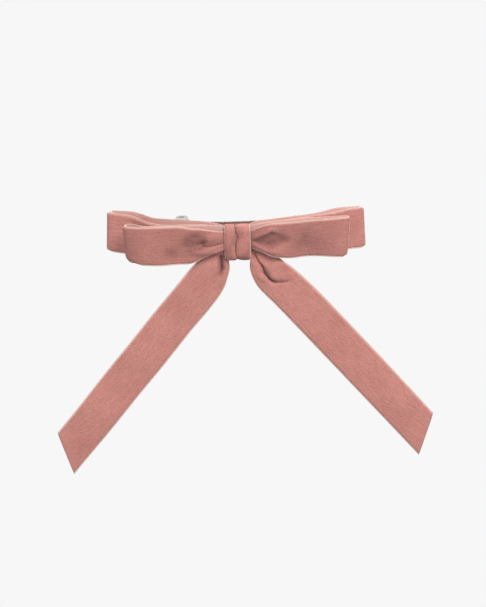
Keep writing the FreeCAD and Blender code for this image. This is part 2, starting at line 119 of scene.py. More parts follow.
class StageSettings(bpy.types.PropertyGroup):
    """Where the camera stands and how the stage is lit."""

    tilt: bpy.props.FloatProperty(
        name="Tilt", description="How far the camera looks down", default=math.radians(22), subtype="ANGLE")
    roll: bpy.props.FloatProperty(
        name="Roll", description="How far the camera is turned about its own line of sight",
        default=math.radians(2.0), subtype="ANGLE")
    distance: bpy.props.FloatProperty(
        name="Distance", description="From the camera to the knot", default=2.5, unit="LENGTH")
    field: bpy.props.FloatProperty(
        name="Field", description="Height that the picture takes in at the knot", default=0.32936,
        unit="LENGTH")
    aside: bpy.props.FloatProperty(
        name="Aside", description="How far the picture's middle is to the right of the knot", default=0.0030,
        unit="LENGTH")
    below: bpy.props.FloatProperty(
        name="Below", description="How far the picture's middle is below the knot", default=0.0334,
        unit="LENGTH")
    backdrop: bpy.props.FloatVectorProperty(
        name="Backdrop", description="Colour of the floor and the backdrop", subtype="COLOR",
        default=(0.93, 0.93, 0.93))
    ambience: bpy.props.FloatProperty(
        name="Ambience", description="Share of the backdrop's brightness that reaches the bow", default=0.47)
    key: bpy.props.FloatProperty(name="Key", description="Power of the main light, W", default=25.0)
    fill: bpy.props.FloatProperty(name="Fill", description="Power of the second light, W", default=5.0)
    back: bpy.props.FloatProperty(name="Back", description="Power of the light behind, W", default=17.0)


# ---------------------------------------------------------------- numbers into surfaces


def smooth(value):
    """3t^2 - 2t^3 of a value clipped to 0..1: a soft step."""
    t = np.clip(value, 0.0, 1.0)
    return t * t * (3 - 2 * t)


def hill(distance, width):
    """exp(-(distance / width)^2): a soft round hill."""
    return np.exp(-((distance / width) ** 2))


def side(distance, width):
    """1 / (1 + exp(-distance / width)): nearly 0 on one side of a line and nearly 1 on the other."""
    return 1 / (1 + np.exp(-np.clip(distance / width, -40, 40)))


def through(rows, spacing, near=None):
    """A smooth line through rows of numbers, the first two or three of which are a place.

    Cubic pieces join the rows, with the square root of the chord as parameter and the tangents of
    np.gradient. The line is then walked in steps of `spacing`, or of near = (x, spacing) where |x| is less.
    """
    rows = np.asarray(rows, float)
    chord = np.linalg.norm(np.diff(rows[:, :2], axis=0), axis=1)
    knots = np.concatenate([[0.0], np.cumsum(np.sqrt(chord))])
    slopes = np.gradient(rows, knots, axis=0)
    fine = np.linspace(0, knots[-1], 6000)
    piece = np.clip(np.searchsorted(knots, fine, side="right") - 1, 0, len(rows) - 2)
    length = (knots[piece + 1] - knots[piece])[:, None]
    t = ((fine - knots[piece]) / length[:, 0])[:, None]
    line = ((2 * t**3 - 3 * t**2 + 1) * rows[piece] + (t**3 - 2 * t**2 + t) * length * slopes[piece]
            + (3 * t**2 - 2 * t**3) * rows[piece + 1] + (t**3 - t**2) * length * slopes[piece + 1])
    walk = np.concatenate([[0.0], np.cumsum(np.linalg.norm(np.diff(line[:, :2], axis=0), axis=1))])
    step = np.full(len(line), float(spacing))
    if near is not None:
        step = np.where(np.abs(line[:, 0]) < near[0], near[1], step)
    pace = np.concatenate([[0.0], np.cumsum(np.diff(walk) / step[1:])])
    count = int(math.ceil(pace[-1])) + 1
    where = np.interp(np.linspace(0, pace[-1], count), pace, np.arange(len(line)))
    return np.stack([np.interp(where, np.arange(len(line)), column) for column in line.T], axis=1)


def across_ribbon(width, spacing):
    """Places across a ribbon from -width/2 to width/2: close together where the pile rises, even between."""
    edge = np.array([0.0, 0.18, 0.45, SELVEDGE, SELVEDGE + 0.12, SELVEDGE + 0.28, SELVEDGE + PILE_RISE])
    inner = width / 2 - edge[-1]
    count = int(round(2 * inner / spacing))
    middle = np.linspace(-inner, inner, count + 1)[1:-1]
    return np.concatenate([edge - width / 2, middle, width / 2 - edge[::-1]])


def directions(middle):
    """Unit normals of a grid of points: the cross product of its two running differences."""
    along = np.gradient(middle, axis=0)
    aside = np.gradient(middle, axis=1)
    normal = np.cross(along, aside)
    return normal / np.maximum(np.linalg.norm(normal, axis=2, keepdims=True), 1e-12)


def quads(start, rows, columns, turned):
    """Faces of a grid of vertices numbered row by row from start."""
    first = start + np.arange(rows - 1)[:, None] * columns + np.arange(columns - 1)[None, :]
    faces = np.stack([first, first + columns, first + columns + 1, first + 1], axis=2).reshape(-1, 4)
    return faces[:, ::-1] if turned else faces


def strip_faces(one, other, turned):
    """Faces between two lines of vertices, given by their numbers."""
    faces = np.stack([one[:-1], one[1:], other[1:], other[:-1]], axis=1)
    return faces[:, ::-1] if turned else faces


def ribbon_piece(name, middle, across, pile_side, materials, pressed=1.0, painted_shade_and_tone=0.0):
    """A ribbon as a closed sheet round a grid of middle points.

    middle[i, j] is a place in mm, i along the ribbon and j across it. The pile side is offset along the
    normal by the backing plus the pile, whose height is 0 on the bare edges and rises over PILE_RISE, and is
    multiplied by `pressed`; the wrong side is offset the other way by the backing alone. The last argument
    mixes the pile towards a darker colour. This is painted shade where folds, creases and pits lie in shadow,
    and a darker tone over whole pieces or parts of them.
    """
    sizes = bpy.context.scene.bow_sizes
    backing = sizes.backing / MM
    rows, columns = middle.shape[:2]
    width = across[-1] - across[0]
    from_edge = width / 2 - np.abs(across)
    height = sizes.pile / MM * smooth((from_edge - SELVEDGE) / PILE_RISE)[None, :] * pressed
    normal = directions(middle) * pile_side
    front = middle + normal * (backing + height * np.ones((rows, 1)))[..., None]
    back = middle - normal * backing
    places = np.concatenate([front.reshape(-1, 3), back.reshape(-1, 3)])
    places[:, 1] += SET_BACK
    places[:, 2] += BOW_MIDDLE
    grid = np.arange(rows * columns).reshape(rows, columns)
    under = grid + rows * columns
    turned = pile_side < 0
    groups = [
        quads(0, rows, columns, turned),
        quads(rows * columns, rows, columns, not turned),
        strip_faces(grid[:, 0], under[:, 0], not turned),
        strip_faces(grid[:, -1], under[:, -1], turned),
        strip_faces(grid[0], under[0], turned),
        strip_faces(grid[-1], under[-1], not turned),
    ]
    bare = from_edge < SELVEDGE + 0.02
    cell = np.tile(np.where(bare[:-1] & bare[1:], EDGE_SLOT, PILE_SLOT), rows - 1)
    cell_back = np.tile(np.where(bare[:-1] & bare[1:], EDGE_SLOT, BACK_SLOT), rows - 1)
    slots = np.concatenate([cell, cell_back] + [np.full(len(group), EDGE_SLOT) for group in groups[2:]])
    mesh = mesh_from(name, places * MM, np.concatenate(groups), materials, slots)
    walk = np.linalg.norm(np.diff(middle.mean(axis=1), axis=0), axis=1)
    along = np.concatenate([[0.0], np.cumsum(walk)])
    cloth = np.zeros((rows, columns, 3))
    cloth[..., 0] = along[:, None]
    cloth[..., 1] = across[None, :]
    cloth = np.concatenate([cloth.reshape(-1, 3), cloth.reshape(-1, 3)]) * MM
    attribute = mesh.attributes.new("cloth", "FLOAT_VECTOR", "POINT")
    attribute.data.foreach_set("vector", cloth.astype(np.float32).ravel())
    flat = np.clip(painted_shade_and_tone * np.ones((rows, columns)), 0, 1).ravel()
    attribute = mesh.attributes.new("painted_shade_and_tone", "FLOAT", "POINT")
    attribute.data.foreach_set("value", np.concatenate([flat, flat]).astype(np.float32))
    return put(name, mesh)


def mesh_from(name, places, faces, materials, slots):
    """A mesh from arrays of places (metres), four-cornered faces and the material slot of each face."""
    mesh = bpy.data.meshes.new(name)
    mesh.vertices.add(len(places))
    mesh.vertices.foreach_set("co", np.asarray(places, np.float32).ravel())
    mesh.loops.add(faces.size)
    mesh.loops.foreach_set("vertex_index", faces.astype(np.int32).ravel())
    mesh.polygons.add(len(faces))
    mesh.polygons.foreach_set("loop_start", np.arange(0, faces.size, 4, dtype=np.int32))
    for material in materials:
        mesh.materials.append(material)
    mesh.polygons.foreach_set("material_index", np.asarray(slots, np.int32))
    mesh.polygons.foreach_set("use_smooth", np.ones(len(faces), bool))
    mesh.update(calc_edges=True)
    mesh.validate()
    return mesh


def put(name, mesh):
    """An object at the origin that shows a mesh."""
    piece = bpy.data.objects.new(name, mesh)
    bpy.context.scene.collection.objects.link(piece)
    return piece


# ---------------------------------------------------------------- materials


def new_material(name):
    """A material with an empty node tree but for its shader; returns it, its nodes, links and shader."""
    material = bpy.data.materials.new(name)
    material.use_nodes = True
    nodes, links = material.node_tree.nodes, material.node_tree.links
    return material, nodes, links, nodes["Principled BSDF"]


def noise(nodes, links, source, scale, detail=2.0, rough=0.5, stretch=None):
    """A noise texture on some coordinates, stretched where three factors are given."""
    texture = nodes.new("ShaderNodeTexNoise")
    texture.inputs["Scale"].default_value = scale
    texture.inputs["Detail"].default_value = detail
    texture.inputs["Roughness"].default_value = rough
    if stretch:
        mapping = nodes.new("ShaderNodeMapping")
        mapping.inputs["Scale"].default_value = stretch
        links.new(source, mapping.inputs["Vector"])
        source = mapping.outputs["Vector"]
    links.new(source, texture.inputs["Vector"])
    return texture.outputs["Fac"]


def bands(nodes, links, source, direction, pitch, distortion=0.0):
    """Sine bands of a pitch in metres along one axis of some coordinates."""
    texture = nodes.new("ShaderNodeTexWave")
    texture.bands_direction = direction
    texture.inputs["Scale"].default_value = math.pi / 10 / pitch
    texture.inputs["Distortion"].default_value = distortion
    texture.inputs["Detail"].default_value = 1.0
    texture.inputs["Detail Scale"].default_value = 2.0
    links.new(source, texture.inputs["Vector"])
    return texture.outputs["Fac"]


def ranged(nodes, links, source, low, high, to_low=0.0, to_high=1.0):
    """source stretched from low..high to another range, clamped."""
    node = nodes.new("ShaderNodeMapRange")
    for key, value in (("From Min", low), ("From Max", high), ("To Min", to_low), ("To Max", to_high)):
        node.inputs[key].default_value = value
    links.new(source, node.inputs["Value"])
    return node.outputs["Result"]


def mixed(nodes, links, factor, one, other):
    """A colour mix; one and other are colours or sockets, factor is a socket."""
    node = nodes.new("ShaderNodeMix")
    node.data_type = "RGBA"
    for socket, value in zip((node.inputs[0], node.inputs[6], node.inputs[7]), (factor, one, other)):
        if isinstance(value, bpy.types.NodeSocket):
            links.new(value, socket)
        else:
            socket.default_value = (*value[:3], 1.0)
    return node.outputs[2]


def summed(nodes, links, parts):
    """The sum of sockets, each times its own weight."""
    total = None
    for socket, weight in parts:
        node = nodes.new("ShaderNodeMath")
        node.operation = "MULTIPLY_ADD"
        node.inputs[1].default_value = weight
        links.new(socket, node.inputs[0])
        if total is not None:
            links.new(total, node.inputs[2])
        else:
            node.inputs[2].default_value = 0.0
        total = node.outputs[0]
    return total


def bumped(nodes, links, shader, height, depth, strength=1.0):
    """Bump on a shader from a height socket, with the depth of a full step in metres."""
    bump = nodes.new("ShaderNodeBump")
    bump.inputs["Strength"].default_value = strength
    bump.inputs["Distance"].default_value = depth
    links.new(height, bump.inputs["Height"])
    links.new(bump.outputs["Normal"], shader.inputs["Normal"])


def velvet(name):
    """Cotton-backed velvet: mottled where the pile is brushed, streaked along the ribbon, finely speckled."""
    colours = bpy.context.scene.bow_colours
    material, nodes, links, shader = new_material(name)
    place = nodes.new("ShaderNodeTexCoord").outputs["Object"]
    cloth_node = nodes.new("ShaderNodeAttribute")
    cloth_node.attribute_name = "cloth"
    cloth = cloth_node.outputs["Vector"]
    painted_shade_and_tone = nodes.new("ShaderNodeAttribute")
    painted_shade_and_tone.attribute_name = "painted_shade_and_tone"
    patches = ranged(nodes, links, noise(nodes, links, place, 70.0, 3.0, 0.55), 0.3, 0.7)
    strokes = ranged(nodes, links, noise(nodes, links, cloth, 1100.0, 2.0, 0.6, (0.14, 1.0, 1.0)), 0.32, 0.68)
    grain = ranged(nodes, links, noise(nodes, links, place, 950.0, 3.0, 0.7), 0.3, 0.7)
    speckle = noise(nodes, links, place, 2600.0, 2.0, 0.7)
    rows = bands(nodes, links, cloth, "X", 0.0011, 0.8)
    blend = summed(nodes, links, [(patches, 0.26), (strokes, 0.26), (grain, 0.30), (speckle, 0.10),
                                  (rows, 0.08)])
    colour = mixed(nodes, links, ranged(nodes, links, blend, 0.15, 0.85), colours.pile_shade, colours.pile)
    speck = ranged(nodes, links, grain, 0.0, 1.0, 0.0, 0.55)
    # Painted shade: a speckled darker pile colour, mixed in by the mesh attribute where folds, creases and pits
    # lie in shadow, and where a piece gets a darker tone
    shade_and_tone_colour = mixed(nodes, links, speck, colours.painted_shade_and_tone, colours.pile_shade)
    links.new(mixed(nodes, links, painted_shade_and_tone.outputs["Fac"], colour, shade_and_tone_colour), shader.inputs["Base Color"])
    rough = ranged(nodes, links, speckle, 0.3, 0.7, 0.86, 0.98)
    links.new(rough, shader.inputs["Roughness"])
    shader.inputs["Specular IOR Level"].default_value = 0.12
    shader.inputs["Sheen Weight"].default_value = 0.5
    shader.inputs["Sheen Roughness"].default_value = 0.42
    shader.inputs["Sheen Tint"].default_value = (1.0, 0.76, 0.70, 1.0)
    height = summed(nodes, links, [(grain, 0.45), (speckle, 0.35), (strokes, 0.35), (rows, 0.12)])
    bumped(nodes, links, shader, height, 0.00030, 1.0)
    return material


def shaded(colour, share):
    """The darker tone that a finish mixes with its colour: a share of that colour."""
    return tuple(c * share for c in colour)


def woven(name, colour, pitch, relief):
    """Plain weave: crossing bands of warp and weft on the cloth's own coordinates, with uneven threads."""
    material, nodes, links, shader = new_material(name)
    place = nodes.new("ShaderNodeTexCoord").outputs["Object"]
    cloth_node = nodes.new("ShaderNodeAttribute")
    cloth_node.attribute_name = "cloth"
    cloth = cloth_node.outputs["Vector"]
    weft = bands(nodes, links, cloth, "X", pitch, 0.3)
    warp = bands(nodes, links, cloth, "Y", pitch * 0.8, 0.3)
    crossing = nodes.new("ShaderNodeMath")
    crossing.operation = "MULTIPLY"
    links.new(weft, crossing.inputs[0])
    links.new(warp, crossing.inputs[1])
    uneven = noise(nodes, links, cloth, 700.0, 3.0, 0.6, (0.3, 1.0, 1.0))
    fuzz = noise(nodes, links, place, 3000.0, 2.0, 0.6)
    blend = summed(nodes, links, [(crossing.outputs[0], 0.4), (uneven, 0.4), (fuzz, 0.25)])
    tone = mixed(nodes, links, ranged(nodes, links, blend, 0.15, 0.8), shaded(colour, 0.74), tuple(colour))
    links.new(tone, shader.inputs["Base Color"])
    links.new(ranged(nodes, links, uneven, 0.3, 0.7, 0.78, 0.92), shader.inputs["Roughness"])
    shader.inputs["Specular IOR Level"].default_value = 0.25
    shader.inputs["Sheen Weight"].default_value = 0.2
    shader.inputs["Sheen Roughness"].default_value = 0.5
    height = summed(nodes, links, [(crossing.outputs[0], 0.8), (fuzz, 0.3)])
    bumped(nodes, links, shader, height, relief, 0.8)
    return material


def thread_material():
    """Two-ply cotton thread: slanting bands along it and loose fibre."""
    material, nodes, links, shader = new_material("sewing_thread")
    place = nodes.new("ShaderNodeTexCoord").outputs["Object"]
    colour = bpy.context.scene.bow_colours.thread
    fibre = noise(nodes, links, place, 5200.0, 3.0, 0.7)
    twist = bands(nodes, links, place, "DIAGONAL", 0.00035, 0.5)
    blend = summed(nodes, links, [(fibre, 0.6), (twist, 0.5)])
    tone = mixed(nodes, links, ranged(nodes, links, blend, 0.2, 0.9), shaded(colour, 0.6), tuple(colour))
    links.new(tone, shader.inputs["Base Color"])
    links.new(ranged(nodes, links, fibre, 0.3, 0.7, 0.7, 0.9), shader.inputs["Roughness"])
    shader.inputs["Sheen Weight"].default_value = 0.3
    bumped(nodes, links, shader, blend, 0.00008, 0.7)
    return material


def steel(name, colour, roughness, grain):
    """Plated pressed steel: long drawing lines, light handling scratches and dull patches."""
    material, nodes, links, shader = new_material(name)
    place = nodes.new("ShaderNodeTexCoord").outputs["Object"]
    drawn = noise(nodes, links, place, 900.0, 4.0, 0.6, (0.04, 1.0, 1.0))
    patches = noise(nodes, links, place, 130.0, 3.0, 0.6)
    specks = noise(nodes, links, place, 1500.0, 2.0, 0.5)
    shader.inputs["Metallic"].default_value = 1.0
    blend = summed(nodes, links, [(patches, 0.6), (specks, 0.3), (drawn, 0.2)])
    tone = mixed(nodes, links, ranged(nodes, links, blend, 0.3, 0.8), shaded(colour, 0.8), tuple(colour))
    links.new(tone, shader.inputs["Base Color"])
    wear = summed(nodes, links, [(patches, 0.5), (drawn, 0.5)])
    rough = ranged(nodes, links, wear, 0.3, 0.7, roughness - 0.07, roughness + 0.12)
    links.new(rough, shader.inputs["Roughness"])
    bumped(nodes, links, shader, drawn, grain, 0.35)
    return material


# ---------------------------------------------------------------- the bow's stations

# Each row: x, y, lean (how much further back the top edge is than the bottom edge), half the height,
# height of the middle above the bow's middle, and 1 on the layer that faces forward.
REAR_LEFT_BACK = [
    (-0.4, -8.0, 0.0, 7.2, -0.4, 0), (-5.0, -7.9, 0.0, 7.2, -0.5, 0), (-10.0, -7.45, 0.0, 8.5, -0.5, 0),
    (-17.0, -6.4, 0.0, 9.8, -0.6, 0), (-27.0, -4.2, 0.0, 10.2, -0.7, 0), (-36.0, -1.7, 0.3, 10.1, -0.7, 0),
    (-46.0, 1.5, 0.8, 9.9, -0.5, 0), (-52.0, 4.0, 1.5, 10.5, 0.2, 0), (-57.5, 5.6, 2.0, 11.0, 0.6, 0),
    (-64.0, 6.7, 2.4, 11.0, 0.8, 0), (-68.6, 6.9, 2.6, 11.0, 0.9, 0), (-70.5, 5.7, 2.6, 11.0, 0.9, 0.2),
    (-69.2, 4.3, 2.6, 11.0, 0.9, 0.6),
]
REAR_LEFT_FRONT = [
    (-64.0, 1.8, 2.3, 11.0, 0.9, 1), (-57.2, -1.6, 2.0, 11.0, 0.7, 1), (-52.4, -6.4, 1.0, 11.0, 0.4, 1),
    (-46.5, -10.3, 0.3, 10.8, 0.0, 1), (-39.0, -12.0, 0.0, 10.5, -0.4, 1), (-27.0, -11.0, 0.0, 10.0, -0.4, 1),
    (-17.0, -9.9, 0.0, 9.1, -0.4, 1), (-8.0, -9.2, 0.0, 7.7, -0.4, 1),
]
REAR_RIGHT_FRONT = [
    (0.0, -9.2, 0.0, 7.2, -0.4, 1), (8.0, -9.3, 0.0, 7.8, -0.4, 1), (17.0, -9.6, 0.0, 9.4, -0.3, 1),
    (28.0, -9.4, 0.4, 10.2, -0.2, 1), (36.0, -8.3, 1.2, 10.5, -0.1, 1), (45.0, -6.4, 2.2, 10.8, 0.0, 1),
    (54.0, -4.3, 3.0, 11.0, 0.0, 1), (62.0, -0.8, 4.4, 11.0, 0.0, 1), (66.8, 0.4, 4.5, 11.0, 0.0, 0.6),
]
REAR_RIGHT_BACK = [
    (69.1, 1.9, 4.3, 11.0, 0.0, 0.2), (67.2, 3.1, 4.0, 10.7, -0.1, 0), (62.0, 2.9, 3.8, 10.8, -0.1, 0),
    (54.0, 2.3, 3.0, 10.7, -0.2, 0), (45.0, 0.7, 1.4, 10.0, -0.7, 0), (36.0, -1.7, 0.5, 9.9, -0.8, 0),
    (27.0, -4.2, 0.0, 10.0, -0.6, 0), (17.0, -6.4, 0.0, 9.6, -0.4, 0), (10.0, -7.45, 0.0, 8.9, -0.1, 0),
    (5.0, -7.9, 0.0, 7.3, -0.4, 0), (0.4, -8.0, 0.0, 7.2, -0.4, 0),
]
FRONT_LEFT_BACK = [
    (-0.4, -11.25, 0.0, 6.0, 1.2, 0), (-5.0, -11.3, 0.0, 6.3, 1.1, 0), (-10.0, -11.8, 0.0, 7.9, 0.9, 0),
    (-17.0, -12.7, 0.0, 9.3, 0.3, 0), (-27.0, -14.3, 0.0, 10.3, -0.3, 0), (-35.0, -15.7, 0.6, 10.7, -0.1, 0),
    (-42.0, -16.4, 1.4, 11.0, 0.0, 0), (-48.0, -15.9, 0.8, 11.0, 0.0, 0), (-52.4, -13.9, 0.3, 11.0, 0.0, 0),
    (-56.3, -11.2, 0.0, 11.0, 0.0, 0), (-59.3, -10.6, -0.4, 11.0, 0.0, 0), (-60.8, -12.0, -1.0, 11.0, 0.0, 0.2),
    (-59.9, -13.8, -1.2, 11.0, 0.0, 0.6),
]
FRONT_LEFT_FRONT = [
    (-57.0, -15.4, -0.5, 11.0, 0.0, 1), (-52.0, -16.9, 0.3, 11.0, 0.0, 1), (-42.0, -17.9, 1.8, 11.0, -0.1, 1),
    (-32.0, -17.7, 0.2, 11.0, 0.0, 1), (-25.0, -17.2, -0.2, 10.3, -0.6, 1), (-20.0, -16.5, 0.0, 8.9, 0.0, 1),
    (-16.0, -15.5, 0.0, 7.6, 0.1, 1), (-12.0, -14.3, 0.0, 6.5, 0.1, 1), (-8.0, -12.9, 0.0, 5.4, 0.2, 1),
    (-4.0, -11.95, 0.0, 5.2, 0.2, 1),
]
FRONT_RIGHT_FRONT = [
    (4.0, -11.95, 0.0, 5.2, 0.3, 1), (8.0, -12.9, 0.0, 5.4, 0.5, 1), (13.0, -15.6, -0.4, 7.5, 1.3, 1),
    (18.6, -17.6, -1.0, 9.8, 1.3, 1), (24.0, -16.8, -1.6, 10.6, 0.6, 1), (30.0, -15.0, -2.2, 11.0, 0.0, 1),
    (36.0, -13.7, -2.8, 11.0, 0.0, 1), (42.0, -13.1, -2.0, 11.0, 0.0, 1), (50.0, -13.3, 0.8, 11.0, 0.0, 1),
    (56.5, -13.5, 3.0, 11.0, 0.0, 1), (59.3, -12.7, 3.2, 11.0, 0.0, 0.6),
]
FRONT_RIGHT_BACK = [
    (60.0, -11.4, 2.6, 11.0, 0.0, 0.2), (57.5, -10.4, 1.8, 11.0, 0.0, 0), (50.0, -10.2, 0.4, 11.0, 0.0, 0),
    (42.0, -10.7, 0.0, 11.0, 0.0, 0), (34.0, -11.2, 0.0, 10.8, 0.0, 0), (24.0, -12.2, 0.0, 10.2, 0.0, 0),
    (16.0, -12.4, 0.0, 9.2, 0.5, 0), (10.0, -11.7, 0.0, 7.6, 1.1, 0), (5.0, -11.3, 0.0, 6.2, 1.2, 0),
    (0.4, -11.25, 0.0, 6.0, 1.2, 0),
]


def loops(rows, width, along_step, near, across_step, skew, corners):
    """Middle surface of a looped ribbon, and how far each of its points faces forward.

    Along the ribbon, the place, lean, half height and lift run smoothly through the rows. Across it, a
    point t of the half width up is at z = lift + half * t and y + lean / 2 * t, and x moves by the skew
    times t where the loop ends. There its corners are rounded: x moves in by r - sqrt(r^2 - (r - d)^2) where
    d, the distance from the edge, is less than r, and corners = ((left bottom, left top), (right bottom,
    right top)) holds the radii r in mm.
    """
    line = through(rows, along_step, near)
    across = across_ribbon(width, across_step)
    t = across[None, :] / (width / 2)
    x, y, lean, half, lift, forward = (column[:, None] for column in line.T)
    reach = np.abs(x).max()
    shift = np.where(x < 0, skew[0], skew[1]) * smooth((np.abs(x) / reach - 0.6) / 0.4)
    inwards = np.zeros_like(x * t)
    for which, end in enumerate((-1, 1)):
        for radius, edge in zip(corners[which], (-1, 1)):
            from_edge = half * (1 - edge * t)
            bite = radius - np.sqrt(np.clip(radius**2 - np.clip(radius - from_edge, 0, None) ** 2, 0, None))
            ending = smooth((end * x - reach + CORNER_REACH * radius) / (CORNER_REACH * radius))
            inwards = inwards - end * bite * ending * (end * x > 0)
    middle = np.stack([x + shift * t + inwards, y + lean / 2 * t, lift + half * t], axis=2)
    return middle, across, np.clip(forward, 0, 1) * np.ones_like(t)


def soft_waves(x, z, amount):
    """A few long sine waves across each other, as in cloth that has been handled."""
    return amount * (np.sin(x / 9.1 + 0.7) * np.sin(z / 6.3 + 0.4) + 0.6 * np.sin(x / 5.3 - z / 7.7 + 2.0))


def left_folds(x, z, depth):
    """How far the front left loop's face stands forward of its middle surface, in mm, and how much shade is
    painted on it.

    A pillow and a roll leave the knot with a sharp crease between them, and end in a soft pit with a hollow
    whose lower side is sharp. A soft dent lies further out.
    """
    out = -x
    near = smooth((out - 6.8) / 3.0)
    core = hill(out - 19.2 + 0.3 * z, 2.0) * hill(z + 0.8, 2.4)
    core = core + 0.25 * hill(out - 23.0, 2.4) * hill(z - 4.6, 1.6)
    # Painted shade only, over the soft pit; it gives no relief
    pit_shade = hill(out - 24.2, 5.8) * hill(z - 1.4, 4.4) + 0.5 * hill(out - 26.0, 2.6) * hill(z + 2.6, 1.4)
    crease_height = -1.2 - 0.11 * (out - 8.0)
    crease = hill(z - crease_height, 0.55) * near * (1 - smooth((out - 17.5) / 2.5))
    pillow = hill(z - 2.6, 2.8) * near * (1 - smooth((out - 15.0) / 3.5))
    roll = hill(z + 4.4, 1.9) * near * (1 - smooth((out - 18.0) / 9.0))
    pleat = hill(z + 3.3 + 0.16 * (out - 8.0), 0.4) * near * (1 - smooth((out - 12.0) / 6.0))
    dent = hill(out - 36.5, 4.2) * hill(z + 5.2, 3.8)
    hollow = hill(out - 24.0, 5.4) * side(z + 2.4, 0.5) * hill(np.clip(z + 1.6, 0, None), 5.4)
    relief = -depth * (0.8 * core + 0.55 * hollow) - 2.2 * crease - 0.8 * pleat - 1.1 * dent
    relief = relief + 1.4 * pillow + 1.6 * roll
    # The second value is painted shade in the pit's core, the pit, the crease, the dent and the pleat
    return relief, 1.5 * core + 1.9 * pit_shade + 1.2 * crease + 0.8 * dent + 0.8 * pleat


def right_folds(x, z, depth):
    """How far the front right loop's face stands forward of its middle surface, in mm, and how much shade is
    painted on it.

    A deep pocket opens from the knot between a sharp upper edge and a softer lower one, and its floor slopes
    back down towards the lower edge. A soft dent lies further out.
    """
    near = smooth((x - 7.0) / 4.0)
    fading = 1 - smooth((x - 24.5) / 6.0)
    rise = np.where(x < 18.6, 0.1 + 0.63 * (x - 7.6), 7.0 - 0.42 * (x - 18.6))
    upper = side(rise - z, 0.20 + 0.14 * np.clip(x - 18.0, 0, 12))
    lower_edge = np.where(x < 17.0, -0.5 - 0.42 * (x - 7.6), -4.45 + 0.26 * (x - 17.0))
    lower = side(z - lower_edge, 0.35 + 0.07 * np.clip(x - 14.0, 0, 15))
    pocket = upper * lower * near * fading
    room = 1 - 0.45 * (1 - smooth((x - 11.0) / 6.0))
    up_the_floor = np.clip((z - lower_edge) / np.maximum(rise - lower_edge, 0.5), 0, 1)
    slope = 1.1 - 0.8 * up_the_floor
    lip = hill(z - rise - 0.9, 1.3) * near * (1 - smooth((x - 16.0) / 8.0))
    roll = hill(z + 2.0 + 0.32 * (x - 8.0), 1.4) * near * (1 - smooth((x - 17.0) / 8.0))
    groove = hill(z + 3.7 + 0.30 * (x - 8.0), 0.45) * near * (1 - smooth((x - 14.0) / 7.0))
    along = (x - 34.3) * 0.39 + z * 0.92
    away = (x - 34.3) * 0.92 - z * 0.39
    dent = side(away, 1.3) * np.exp(-np.clip(away, 0, None) / 8.0) * hill(along + 1.5, 6.6)
    relief = -depth * pocket * room * slope + 1.3 * lip + 1.1 * roll - 0.8 * groove - 1.7 * dent
    # Painted shade only: dark lines along the pocket's upper and lower edges, with no relief
    edge = hill(z - rise + 0.3, 0.7) * near * (1 - smooth((x - 16.0) / 5.0))
    edge = edge + hill(z - lower_edge - 0.3, 0.6) * near * (1 - smooth((x - 20.0) / 5.0))
    # The second value is painted shade in the pocket, along its edges, in the groove and in the dent
    return relief, 0.72 * pocket + 0.45 * edge + 0.7 * groove + dent


# Each row: x and height of one edge of a tail, from the knot outwards.
TAIL_TOP = {
    -1: [(3.5, 4.8), (9.0, -0.5), (16.0, -6.2), (24.5, -14.0), (33.7, -24.9), (50.4, -45.5), (76.0, -77.0)],
    1: [(3.5, 4.8), (10.0, -0.5), (18.0, -7.0), (25.9, -14.0), (33.2, -20.9), (42.7, -31.1), (58.5, -50.3),
        (81.0, -77.7)],
}
TAIL_UNDER = {
    -1: [(2.6, -6.2), (4.5, -9.0), (5.0, -12.5), (4.7, -16.5), (6.0, -21.8), (9.0, -29.7), (30.3, -56.8),
         (60.9, -94.2)],
    1: [(2.6, -6.2), (6.6, -9.0), (6.6, -12.5), (6.3, -16.5), (7.2, -21.0), (9.9, -27.4), (20.5, -40.0),
        (35.0, -57.6), (60.9, -88.9)],
}
TAIL_TIPS = {-1: ((102.9, -110.2), (94.9, -135.4)), 1: ((104.6, -106.5), (96.2, -131.4))}


def tail_edge(hand, rows, tip):
    """One edge of a tail, evenly walked from the knot to its tip."""
    return through([(hand * x, z) for x, z in rows] + [(hand * tip[0], tip[1])], 0.5)


def tail_middle(across_step):
    """Middle surface of the ribbon whose two ends are the tails.

    The edges are smooth lines through their rows; at the same share of each edge's length a straight
    line joins them, and the folds push its points forward or back.
    """
    across = across_ribbon(RIBBON_WIDTH, across_step)
    t = (across / RIBBON_WIDTH + 0.5)[None, :]
    halves = {}
    for hand in (-1, 1):
        top = tail_edge(hand, TAIL_TOP[hand], TAIL_TIPS[hand][0])
        under = tail_edge(hand, TAIL_UNDER[hand], TAIL_TIPS[hand][1])
        share = np.concatenate([np.linspace(0, FOLDED_SHARE, 110)[:-1], np.linspace(FOLDED_SHARE, 1, 150)])
        lines = []
        for line in (top, under):
            own = np.linspace(0, 1, len(line))
            lines.append(np.stack([np.interp(share, own, column) for column in line.T], axis=1))
        halves[hand] = lines[1][:, None, :] * (1 - t[..., None]) + lines[0][:, None, :] * t[..., None]
    flat = np.concatenate([halves[-1][::-1], halves[1]])
    x, z = flat[..., 0], flat[..., 1]
    out = np.abs(x)
    y = -10.35 - 0.4 * smooth((out - 5.0) / 8.0) - 0.6 * smooth((-x - 12.0) / 8.0)
    y = y - 0.9 * smooth((-z - 9.0) / 6.0) * smooth((out - 3.0) / 5.0)
    down = smooth((-z - 20.0) / 30.0)
    y = y - down * (0.9 * np.sin(z / 23.0 + np.where(x < 0, 0.4, 1.7)) + 0.35 * np.sin(z / 9.0 + x / 14.0))
    cup = (t - 0.5) ** 2 * 4
    y = y + 0.5 * down * (cup - 0.4)
    left, right = left_tail_folds(x, z), right_tail_folds(x, z)
    y = y - np.where(x < 0, left[0], right[0])
    # The third value is painted shade in the tails' folds under the knot
    return np.stack([x, y, z], axis=2), across, np.clip(np.where(x < 0, left[1], right[1]), 0, 1)


